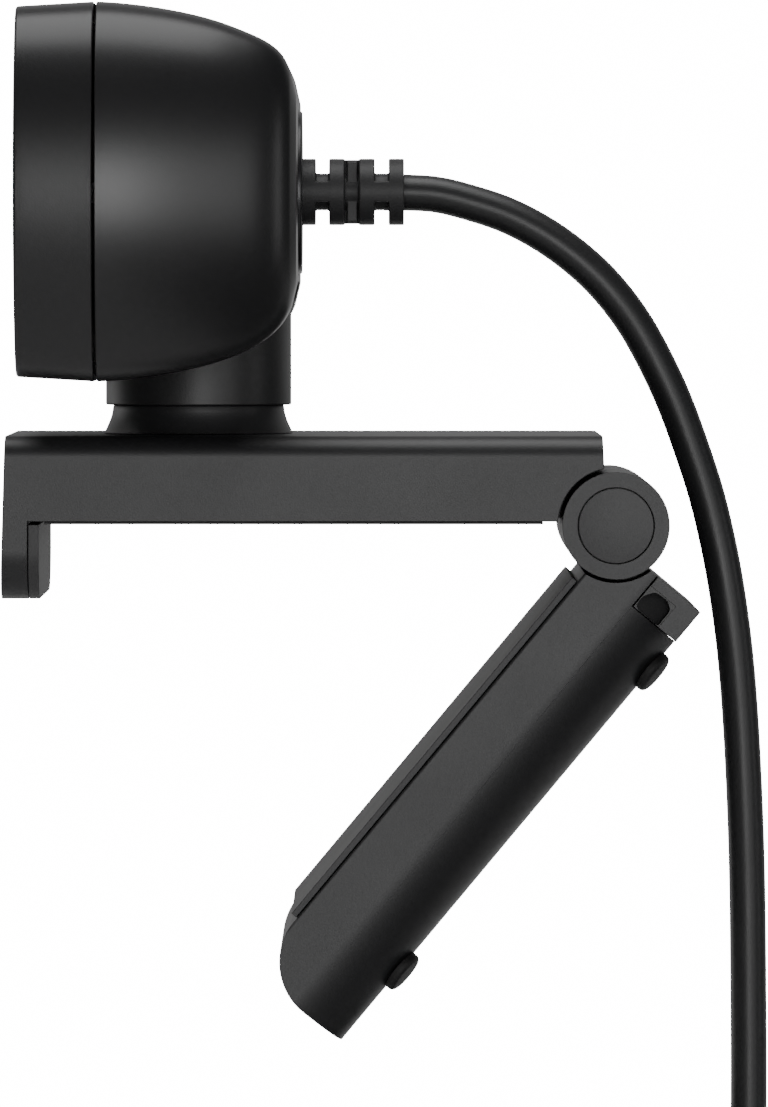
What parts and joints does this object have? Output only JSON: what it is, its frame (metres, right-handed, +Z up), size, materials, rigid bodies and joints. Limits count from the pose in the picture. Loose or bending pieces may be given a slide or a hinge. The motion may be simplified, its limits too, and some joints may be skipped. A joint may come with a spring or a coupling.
{
  "type": "webcam with monitor clip",
  "caption": "Webcam with a wide rounded head on a turning, tilting neck, a flat monitor clip with a folding leg, and a USB cord.",
  "frame": {"origin": "on the rubber pad under the clip's arm, on the neck's turning axis, where the monitor's top edge rests", "axes": "+Z up, the lens faces -Y, +X to the camera's own left, towards the near hinge cap"},
  "size_m": [0.078, 0.0927, 0.2489],
  "materials": {
    "shell": "satin black",
    "grip_rubber": "matt",
    "relief_rubber": "matt",
    "cord_jacket": "satin",
    "tie": "matt",
    "steel": "satin",
    "window": "gloss",
    "lens": "coated",
    "chip": "matt",
    "board": "satin",
    "connector": "matt",
    "clear": "clear"
  },
  "bodies": {
    "clip_arm": {"arm_shell": "shell", "underside_cover": "shell", "underside_pad": "grip_rubber", "lip_pad": "grip_rubber", "swivel_base": "shell", "cover_screw_front": "steel", "cover_screw_rear": "steel"},
    "neck": {"stem": "shell", "tilt_knuckle": "shell", "swivel_spring": "steel", "swivel_washer": "steel", "swivel_screw": "steel", "cord_tube": "cord_jacket", "cord_coil": "cord_jacket", "cord_tie": "tie", "cord_tail": "cord_jacket", "usb_grip": "relief_rubber", "usb_shell": "steel", "usb_tongue": "connector"},
    "head": {"bezel": "shell", "board_connector": "connector", "board_screw_left": "steel", "board_screw_right": "steel", "bracket_screw_left": "steel", "bracket_screw_right": "steel", "camera_board": "board", "front_glass": "window", "image_sensor": "chip", "ir_filter": "lens", "lens_barrel": "chip", "lens_front_element": "lens", "lens_holder": "chip", "lens_rear_element": "lens", "lens_ring": "shell", "light_pipe": "clear", "microphone_left": "steel", "microphone_right": "steel", "rear_plate": "shell", "rear_shell": "shell", "status_led": "connector", "strain_relief": "relief_rubber", "tilt_bracket": "steel", "tilt_pin": "steel", "tilt_washer": "steel", "usb_controller": "chip", "wire_plug": "connector"},
    "leg": {"leg_shell": "shell", "leg_cover": "shell", "leg_pad": "grip_rubber", "hinge_bracket": "shell", "hinge_pin": "steel", "hinge_cap_near": "shell", "hinge_cap_far": "shell", "hinge_washer_near": "steel", "hinge_washer_far": "steel", "foot_upper_near": "grip_rubber", "foot_upper_far": "grip_rubber", "foot_lower_near": "grip_rubber", "foot_lower_far": "grip_rubber", "leg_screw": "steel"}
  },
  "joints": [
    {"name": "neck_pan", "type": "hinge", "parent": "clip_arm", "child": "neck", "pos_m": [0, 0, 0], "axis": [0, 0, 1], "range_deg": [-90, 90], "deforming": ["cord_tube"]},
    {"name": "head_tilt", "type": "hinge", "parent": "neck", "child": "head", "pos_m": [0, 0, 0.031], "axis": [1, 0, 0], "range_deg": [-12, 12], "deforming": ["cord_tube"]},
    {"name": "leg_fold", "type": "hinge", "parent": "clip_arm", "child": "leg", "pos_m": [0, 0.04789, -0.00022], "axis": [1, 0, 0], "range_deg": [-47.5, 8]}
  ]
}
